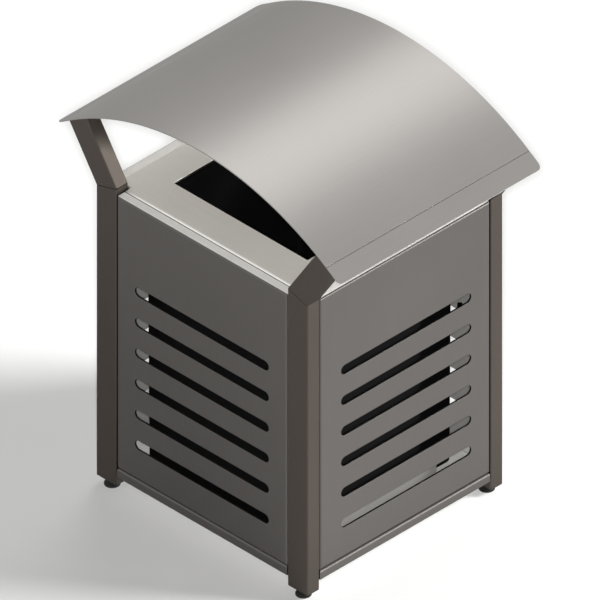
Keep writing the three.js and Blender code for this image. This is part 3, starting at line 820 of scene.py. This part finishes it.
# Deposit chute: a collar moulded in black polyethylene that hangs by its lip under the top plate and leads
# litter into the liner.
chute_low, chute_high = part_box("deposit_chute")
chute_wall = 3 * mm
chute_step = 1.5 * mm
chute_lip = 18 * mm
chute_round = 1.2 * mm
chute_profile = [
    (chute_lip, chute_high.z - chute_wall),
    (chute_lip, chute_high.z),
    (chute_round, chute_high.z),
    (0, chute_high.z - chute_round),
    (0, chute_low.z + chute_round),
    (chute_round, chute_low.z),
    (chute_wall, chute_low.z),
    (chute_wall, chute_high.z - chute_wall),
]
chute_rings = []
for out, height in chute_profile:
    chute_wide = deposit_wide + 2 * (chute_step + out)
    chute_deep = deposit_deep + 2 * (chute_step + out)
    chute_rings.append(rounded_ring(chute_wide, chute_deep, deposit_corner + out, height))
chute = finished(loft("deposit_collar", chute_rings, closed=True), polyethylene)
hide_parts("deposit_chute")
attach(chute, "frame")


# Frame bolts: hexagon bolts with flanged heads in stainless steel, four through the rims of each panel,
# four in the top plate and four in the base tray, all driven from inside into the posts.
bolt_radius = 4 * mm
bolt_point = 1 * mm
bolt_head_radius = 7.5 * mm
bolt_head_height = 5.3 * mm
bolt_crown_share = 0.96
bolt_flange = 1.4 * mm
bolt_flange_top = 1.6 * bolt_flange
bolt_flange_radius = 8.6 * mm
bolt_nodes = [
    "panel_bolt_" + panel + "_" + level + "_" + end
    for panel in ("front", "left", "right")
    for level in ("lower", "upper")
    for end in ("left", "right")
]
bolt_nodes += [pan + "_bolt_" + corner for pan in ("base", "top_plate") for corner in corners]


def bolt_seat(node):
    """Where a bolt's head meets the sheet, and the way that its shank points: along the longest side of its
    box, away from the middle of the receptacle."""
    low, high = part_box(node)
    middle = (low + high) / 2
    axis = max(range(3), key=lambda i: size(node)[i])
    direction = Vector((0, 0, 0))
    direction[axis] = 1 if middle[axis] > 0 else -1
    return middle + direction * (bolt_head_height - size(node)[axis] / 2), direction


def hex_bolt(name, length):
    """A bolt whose head seats at z = 0, with its shank along +Z."""
    across = 2 * bolt_head_radius
    rings = [
        circle(bolt_head_radius * flat_share * bolt_crown_share, -bolt_head_height),
        hex_ring(across, circle_at=-bolt_head_height, side=-1),
        hex_ring(across, height=-bolt_flange_top),
        circle(bolt_flange_radius, -bolt_flange),
        circle(bolt_flange_radius, 0),
        circle(bolt_radius, 0),
        circle(bolt_radius, length - bolt_point),
        circle(bolt_radius - bolt_point, length),
    ]
    return loft(name, rings)


bolt = hex_bolt("bolt", max(size(bolt_nodes[0])) - bolt_head_height)
bolts = set_out("frame_bolts", bolt, [bolt_seat(node) for node in bolt_nodes], bright_steel)
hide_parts(*bolt_nodes)
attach(bolts, "frame")


# Canopy: one stainless sheet rolled to an arch over the opening, with a flat flange left at each end and
# rounded corners. It is scored across where the roll starts, and welded to the heads of the posts.
canopy_half_wide = 449.4 * mm
canopy_half_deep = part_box("canopy")[1].y
canopy_flange = 49.9 * mm
canopy_corner = 13 * mm
half_arch_steps = 48
corner_steps = 12
score_wide = 1.6 * mm
score_deep = 1.4 * mm
roll_end = arch_radius * lean
sheet_end = roll_end + canopy_flange
corner_run = canopy_corner / math.cos(lean)

# Brushed from front to back before it is rolled, so that light spreads in soft bands along the arch
canopy_steel = satin_steel("satin brushed stainless sheet, rolled", "#969390", roughness=0.4, grain_axis=1)


def canopy_station(reach):
    """A point on the upper surface and its normal, by the distance run along the sheet from the crown."""
    side = 1 if reach >= 0 else -1
    angle = min(abs(reach), roll_end) / arch_radius
    normal = Vector((side * math.sin(angle), 0, math.cos(angle)))
    beyond = max(0.0, abs(reach) - roll_end)
    along_flange = Vector((side * math.cos(lean), 0, -math.sin(lean)))
    return arch_centre + normal * arch_radius + along_flange * beyond, normal


def canopy_half_depth(point):
    """Half the depth of the sheet there, which shrinks round its corners."""
    into = abs(point.x) - (canopy_half_wide - canopy_corner)
    if into <= 0:
        return canopy_half_deep
    return canopy_half_deep - canopy_corner + math.sqrt(max(0.0, canopy_corner**2 - into**2))


half_stations = [roll_end * i / half_arch_steps for i in range(1, half_arch_steps)]
half_stations += [roll_end - score_wide / 2, roll_end, roll_end + score_wide / 2]
for i in range(corner_steps + 1):
    half_stations.append(sheet_end - corner_run * (1 - math.sin(math.pi / 2 * i / corner_steps)))
canopy_rings = []
for reach in [-reach for reach in reversed(half_stations)] + [0.0] + half_stations:
    point, normal = canopy_station(reach)
    half = canopy_half_depth(point)
    sink = score_deep if abs(abs(reach) - roll_end) < score_wide / 4 else 0.0
    top = point - normal * sink
    below = point - normal * arch_sheet
    section = ((top, half), (top, -half), (below, -half), (below, half))
    canopy_rings.append([Vector((spot.x, y, spot.z)) for spot, y in section])
canopy = finished(loft("canopy_sheet", canopy_rings), canopy_steel, edge=sheet_edge)
# The underside is painted pale, as painted light, so that it brightens the top plate and posts under it.
refinish(canopy, painted_light_steel, lambda face: face.normal.z < -mostly)
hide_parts("canopy")
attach(canopy, "frame")


# Canopy welds: a small fillet bead of weld round the head of each post, where it meets the underside of
# the canopy. Bright and finely rippled.
bead_radius = 2.2 * mm
bead_steps = 10
ripple_pitch = 2.4 * mm
ripple_share = 0.14
ripple_step = 0.2  # the bead has a ring of points each time it runs this share of a ripple


def weld_bead_tree():
    """Runs a bead along the edges of a piece, thicker and thinner as it goes."""
    tree, given = start_tree("weld bead", Float=["Radius", "Ripple Pitch", "Ripple"], Material=["Finish"])
    pitch = given["Ripple Pitch"]
    run = add_node(tree, "GeometryNodeMeshToCurve", {"Mesh": given["Geometry"]})
    step = add_node(tree, "ShaderNodeMath", {0: pitch, 1: ripple_step}, operation="MULTIPLY")
    even_run = add_node(tree, "GeometryNodeResampleCurve", {"Curve": run, "Length": step}, mode="LENGTH")
    travelled = add_node(tree, "GeometryNodeSplineParameter").outputs["Length"]
    ripples = add_node(tree, "ShaderNodeMath", {0: travelled, 1: pitch}, operation="DIVIDE")
    phase = add_node(tree, "ShaderNodeMath", {0: ripples, 1: 2 * math.pi}, operation="MULTIPLY")
    wave = add_node(tree, "ShaderNodeMath", {0: phase}, operation="SINE")
    swell = add_node(tree, "ShaderNodeMath", {0: wave, 1: given["Ripple"], 2: 1.0}, operation="MULTIPLY_ADD")
    swollen = add_node(tree, "GeometryNodeSetCurveRadius", {"Curve": even_run, "Radius": swell})
    round_sizes = {"Resolution": bead_steps, "Radius": given["Radius"]}
    outline = add_node(tree, "GeometryNodeCurvePrimitiveCircle", round_sizes, mode="RADIUS")
    bead = add_node(tree, "GeometryNodeCurveToMesh", {"Curve": swollen, "Profile Curve": outline})
    return end_tree(tree, bead, given["Finish"])


weld_points = [point for loop in weld_loops for point in loop]
loop_count = len(weld_loops[0])
weld_edges = []
for start in range(0, len(weld_points), loop_count):
    weld_edges += [(start + i, start + (i + 1) % loop_count) for i in range(loop_count)]
welds = new_piece("canopy_welds", weld_points, edges=weld_edges)
bead_sizes = {"Radius": bead_radius, "Ripple Pitch": ripple_pitch, "Ripple": ripple_share}
grow(welds, weld_bead_tree(), {**bead_sizes, "Finish": bright_steel})
finished(welds, bright_steel)
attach(welds, "frame")


# Service door: the rear panel, a slotted tray like the front one, hung on the rear left post and locked
# beside the rear right one. A hole takes the lock.
lock_low, lock_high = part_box("lock_body")
lock_x = (lock_low.x + lock_high.x) / 2
lock_z = (lock_low.z + lock_high.z) / 2
lock_radius = 9.5 * mm
lock_clearance = 0.3 * mm

door = slotted_tray("service_door_sheet", panel_wide, panel_tall, panel_deep, front_slot, 0, 0)
hole_radius = lock_radius + lock_clearance
lock_hole = turned("lock hole", [(hole_radius, -2 * sheet), (hole_radius, sheet)])
lock_hole.data.transform(Matrix.Translation((-lock_x, lock_z - panel_middle, 0)))
change(door, lock_hole, "DIFFERENCE")
about = Matrix.Rotation(math.pi, 4, "Z")
door_stand = about @ Matrix.Translation((0, -body_half_deep, panel_middle)) @ quarter_turn
finished(door, upright_steel, door_stand, edge=sheet_edge)
unbrushed(door, door_stand, 1)
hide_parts("service_door")
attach(door, "door")


# Hinges: two stainless butt hinges, each with a leaf on the post and a leaf on the door, knuckles curled
# from the leaves, and a pin with a domed head. Each leaf has three countersunk holes.
swing = next(joint for joint in frame["joints"] if joint["name"] == "door_swing")
hinge_axis = Vector(swing["pos_m"])
leaf_sheet = 2.5 * mm
leaf_corner = 5 * mm
leaf_edge = 0.25 * mm
leaf_face = body_half_deep + leaf_sheet - hinge_axis.y
knuckle_radius = 5 * mm
knuckle_edge = 0.4 * mm
pin_radius = 2.5 * mm
pin_chamfer = 0.75 * mm
hinge_fit = 0.3 * mm
screw_radius = 3.6 * mm
screw_rows = (-0.34, 0.0, 0.34)
screw_out_share = 0.62
sink_foot_radius = 1.8 * mm
sink_gap = 0.25 * mm


def rod(name, radius, low, high):
    """A short rod on the z axis with its rims broken."""
    rim, edge = radius - knuckle_edge, knuckle_edge
    return turned(name, [(rim, low), (radius, low + edge), (radius, high - edge), (rim, high)])


def leaf_plate(name, side, width, height):
    """The flat of a leaf: its near edge runs by the pin, and its two far corners are round."""
    outline = [(hinge_fit, -height / 2)]
    outline += arc(width - leaf_corner, leaf_corner - height / 2, leaf_corner, -90, 0)
    outline += arc(width - leaf_corner, height / 2 - leaf_corner, leaf_corner, 0, 90)
    outline.append((hinge_fit, height / 2))
    rings = [[Vector((side * x, y, z)) for x, z in outline] for y in (leaf_face - leaf_sheet, leaf_face)]
    leaf = loft(name, rings)
    shell = bmesh.new()
    shell.from_mesh(leaf.data)
    bmesh.ops.recalc_face_normals(shell, faces=shell.faces)
    shell.to_mesh(leaf.data)
    shell.free()
    return leaf


screw_seats = {"post": [], "door": []}
rearward = Vector((0, 1, 0))
for level in ("lower", "upper"):
    low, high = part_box("hinge_" + level + "_post_leaf")
    leaf_tall = high.z - low.z
    leaf_wide = hinge_axis.x - low.x
    leaf_middle = (low.z + high.z) / 2
    on_axis = Matrix.Translation((hinge_axis.x, hinge_axis.y, leaf_middle))
    barrel = leaf_tall / 3
    knuckles = {
        "post": [(barrel / 2, leaf_tall / 2), (-leaf_tall / 2, -barrel / 2)],
        "door": [(hinge_fit - barrel / 2, barrel / 2 - hinge_fit)],
    }
    for owner, other, side, body in (("post", "door", -1, "frame"), ("door", "post", 1, "door")):
        leaf = leaf_plate("hinge_" + level + "_" + owner + "_half", side, leaf_wide, leaf_tall)
        for start, end in knuckles[other]:
            room = rod("room", knuckle_radius + hinge_fit, start - hinge_fit, end + hinge_fit)
            change(leaf, room, "DIFFERENCE")
        for start, end in knuckles[owner]:
            change(leaf, rod("knuckle", knuckle_radius, start, end), "UNION")
        change(leaf, rod("bore", pin_radius + hinge_fit, -leaf_tall, leaf_tall), "DIFFERENCE")
        for share in screw_rows:
            sink_profile = [(sink_foot_radius, -leaf_sheet), (screw_radius + sink_gap, sink_gap)]
            sink = turned("countersink", sink_profile)
            aside = Vector((side * leaf_wide * screw_out_share, leaf_face, share * leaf_tall))
            sink.data.transform(Matrix.Translation(aside) @ quarter_turn.inverted())
            change(leaf, sink, "DIFFERENCE")
            screw_seats[owner].append((on_axis @ aside, rearward))
        finished(leaf, bright_steel, on_axis, edge=leaf_edge)
        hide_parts("hinge_" + level + "_" + owner + "_leaf")
        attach(leaf, body)
    pin_node = "hinge_" + level + "_pin"
    dome_radius = size(pin_node).x / 2
    dome_base = leaf_tall / 2 + hinge_fit
    dome_share = (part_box(pin_node)[1].z - leaf_middle - dome_base) / dome_radius
    pin_profile = [
        (pin_radius - pin_chamfer, -leaf_tall / 2),
        (pin_radius, pin_chamfer - leaf_tall / 2),
        (pin_radius, dome_base),
        (dome_radius, dome_base),
    ]
    pin_profile += [(x, dome_base + dome_share * y) for x, y in arc(0, 0, dome_radius, 15, 75, steps=4)]
    pin = finished(turned(pin_node + "_rod", pin_profile), bright_steel, on_axis)
    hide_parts(pin_node)
    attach(pin, "frame")


# Hinge screws: three countersunk screws through each leaf, with a hexagon socket in the head. Stainless
# steel, flush with the leaf.
screw_rise = 0.2 * mm
screw_crown = 3.348 * mm
cone_radius = 1.98 * mm
cone_depth = 2 * mm
socket_radius = 1.7 * mm
socket_depth = 1.4 * mm
socket_taper = 0.96


def socket_screw(name):
    """The head of a countersunk screw, with its top just above z = 0 and its socket open."""
    turns = [2 * math.pi * round(i * 6 / round_steps) / 6 for i in range(round_steps)]
    hexagon = [Vector((socket_radius * math.cos(a), socket_radius * math.sin(a), 0)) for a in turns]
    rings = [
        circle(cone_radius, -cone_depth),
        circle(screw_radius, -sink_gap),
        circle(screw_radius, 0),
        circle(screw_crown, screw_rise),
        [point + up * screw_rise for point in hexagon],
        [point * socket_taper - up * (socket_depth - screw_rise) for point in hexagon],
    ]
    return loft(name, rings)


for owner, body in (("post", "frame"), ("door", "door")):
    screws = set_out("hinge_screws_" + owner, socket_screw("screw"), screw_seats[owner], bright_steel)
    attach(screws, body)


# Cam lock: a nickel plated cylinder lock through the door, held by a nut behind the sheet. Its plug turns
# with the key and carries the cam and the cam's screw.
lock_bore = 6.3 * mm
lock_mouth_wide = 0.6 * mm
lock_mouth_deep = 0.3 * mm
lock_head_radius = size("lock_body").x / 2
lock_head_height = 3 * mm
lock_head_rim = ((1.4 * mm, 0), (0.5 * mm, 0.4 * mm), (0, 1.2 * mm))  # inset and depth round its edge
lock_edge = 0.15 * mm
key_plug_radius = 6 * mm
key_plug_chamfer = 0.4 * mm
key_plug_edge = 0.12 * mm
key_wide = 1.6 * mm
key_tall = 8 * mm
key_deep = 5 * mm
key_corner = key_wide / 3
cam_edge = 0.3 * mm


def lock_place(node):
    """A place on the lock's axis at a node's outer face, where a piece's own z axis runs into the body."""
    return Matrix.Translation((lock_x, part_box(node)[1].y, lock_z)) @ quarter_turn


# Nickel plate: the smoothest metal on the receptacle, a little warm
nickel = plain_steel("nickel plated lock", "#9A958C", roughness=0.22, mottle_size=pressed_mottle)

lock_long = size("lock_body").y
lock_shoulder = lock_head_height - hinge_fit
lock_profile = [(lock_bore + lock_mouth_wide, 0)]
lock_profile += [(lock_head_radius - inset, depth) for inset, depth in lock_head_rim]
lock_profile += [
    (lock_head_radius, lock_shoulder),
    (lock_radius, lock_shoulder),
    (lock_radius, lock_long),
    (lock_bore, lock_long),
    (lock_bore, lock_mouth_deep),
]
lock_body = turned("lock_cylinder", lock_profile, closed=True)
finished(lock_body, nickel, lock_place("lock_body"), edge=lock_edge)
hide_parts("lock_body")
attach(lock_body, "door")

ring_size = size("lock_nut")
lock_nut = hex_nut("lock_ring_nut", ring_size.x, ring_size.y, lock_radius + hinge_fit)
finished(lock_nut, nickel, lock_place("lock_nut"))
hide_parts("lock_nut")
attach(lock_nut, "door")

key_plug_profile = [
    (key_plug_radius - key_plug_chamfer, 0),
    (key_plug_radius, key_plug_chamfer),
    (key_plug_radius, size("lock_plug").y),
]
lock_plug = turned("lock_key_plug", key_plug_profile)
key_rings = [rounded_ring(key_wide, key_tall, key_corner, height) for height in (-key_deep, key_deep)]
change(lock_plug, loft("key slot", key_rings), "DIFFERENCE")
finished(lock_plug, nickel, lock_place("lock_plug"), edge=key_plug_edge)
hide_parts("lock_plug")
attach(lock_plug, "lock")

cam_half = size("lock_cam").x / 2
cam_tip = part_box("lock_cam")[1].z - lock_z - cam_half
cam_thick = size("lock_cam").y
cam_outline = arc(0, cam_tip, cam_half, 0, 180, steps=16) + arc(0, 0, cam_half, 180, 360, steps=16)
cam = loft("lock_cam_arm", [[Vector((x, y, z)) for x, y in cam_outline] for z in (0, cam_thick)])
change(cam, turned("cam hole", [(lock_bore, -cam_thick), (lock_bore, 2 * cam_thick)]), "DIFFERENCE")
finished(cam, bright_steel, lock_place("lock_cam"), edge=cam_edge)
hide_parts("lock_cam")
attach(cam, "lock")

head_wide, head_thick, _ = size("lock_cam_screw")
cam_screw_rings = [
    hex_ring(head_wide, height=0),
    hex_ring(head_wide, circle_at=head_thick),
    circle(head_wide / 2 * flat_share, head_thick),
]
cam_screw = finished(loft("lock_cam_bolt", cam_screw_rings), bright_steel, lock_place("lock_cam_screw"))
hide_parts("lock_cam_screw")
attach(cam_screw, "lock")


# Floor: a plain pale studio floor that takes the receptacle's shadow. It isn't part of the object.
floor_half = 9.0
floor_cloud = 2 / 3
floor_material, floor_tree, floor_where = start_material("pale studio floor")
floor_pattern = {"Vector": floor_where, "Scale": 1 / floor_cloud, "Detail": 3.0}
floor_drift = add_node(floor_tree, "ShaderNodeTexNoise", floor_pattern)
floor_shades = {"Factor": floor_drift, "A": linear("#F1F1F0"), "B": linear("#F4F4F3")}
floor_tone = add_node(floor_tree, "ShaderNodeMix", floor_shades, data_type="RGBA")
end_material(floor_material, {"Base Color": floor_tone, "Roughness": 0.9, "Specular IOR Level": 0.1})
floor_corners = [(x * floor_half, y * floor_half, 0) for x, y in ((-1, -1), (1, -1), (1, 1), (-1, 1))]
floor = new_piece("studio_floor", floor_corners, faces=[(0, 1, 2, 3)])
floor.data.materials.append(floor_material)
floor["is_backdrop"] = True


# Light: a white surround that the camera and metal see at full white, and four soft lamps. Metal sees a
# softbox and a low side light. A key and a fill light what isn't polished: the floor, the black pieces and
# the dull sheet inside, which the fill reaches through the slots.
sky_fill = 0.03
world = bpy.data.worlds.new("studio")
bpy.context.scene.world = world
world.use_nodes = True
sky_tree = world.node_tree
sky_tree.nodes.clear()
rays = add_node(sky_tree, "ShaderNodeLightPath").outputs
looking = {0: rays["Is Camera Ray"], 1: rays["Is Glossy Ray"]}
mirrored = add_node(sky_tree, "ShaderNodeMath", looking, operation="ADD")
through = {0: mirrored, 1: rays["Is Transmission Ray"]}
seen = add_node(sky_tree, "ShaderNodeMath", through, operation="ADD", use_clamp=True)
full_or_fill = {0: seen, 1: 1 - sky_fill, 2: sky_fill}
white = add_node(sky_tree, "ShaderNodeMath", full_or_fill, operation="MULTIPLY_ADD")
sky = add_node(sky_tree, "ShaderNodeBackground", {"Color": (1, 1, 1, 1), "Strength": white})
add_node(sky_tree, "ShaderNodeOutputWorld", {"Surface": sky})


def soft_sun(name, toward, strength, degrees, on_metal=True, on_dull=True):
    """A soft lamp that wide, from that direction as seen from the receptacle."""
    lamp = bpy.data.lights.new(name, "SUN")
    lamp.energy = strength
    lamp.angle = math.radians(degrees)
    holder = bpy.data.objects.new(name, lamp)
    holder.rotation_mode = "QUATERNION"
    holder.rotation_quaternion = Vector(toward).to_track_quat("Z", "Y")
    holder.visible_glossy = on_metal
    holder.visible_diffuse = on_dull
    bpy.context.scene.collection.objects.link(holder)


soft_sun("floor_key", (1, 1, 1), strength=3.2, degrees=18, on_metal=False)
soft_sun("camera_side_fill", (1, -1, 1), strength=2.4, degrees=1.6, on_metal=False)
soft_sun("arch_softbox", (-0.318, 0.577, 0.752), strength=0.44, degrees=30)
soft_sun("low_side_light", (0.799, 0.602, 0.005), strength=2.65, degrees=3, on_dull=False)


# Camera: a true isometric view from the front right and above, as in the picture. It is orthographic, and a
# square picture takes in the whole receptacle with a margin round it.
view_width = 1.3466
look_at = Vector((0.0008, 0.0008, 0.5112))
camera_away = 5
toward_camera = Vector((1, -1, 1)).normalized()
camera_data = bpy.data.cameras.new("camera")
camera_data.type = "ORTHO"
camera_data.ortho_scale = view_width
camera_data.clip_end = 20
camera = bpy.data.objects.new("camera", camera_data)
camera.rotation_mode = "QUATERNION"
camera.rotation_quaternion = toward_camera.to_track_quat("Z", "Y")
camera.location = look_at + toward_camera * camera_away
bpy.context.scene.collection.objects.link(camera)
bpy.context.scene.camera = camera
bpy.context.scene.view_settings.view_transform = "Standard"

low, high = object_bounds()
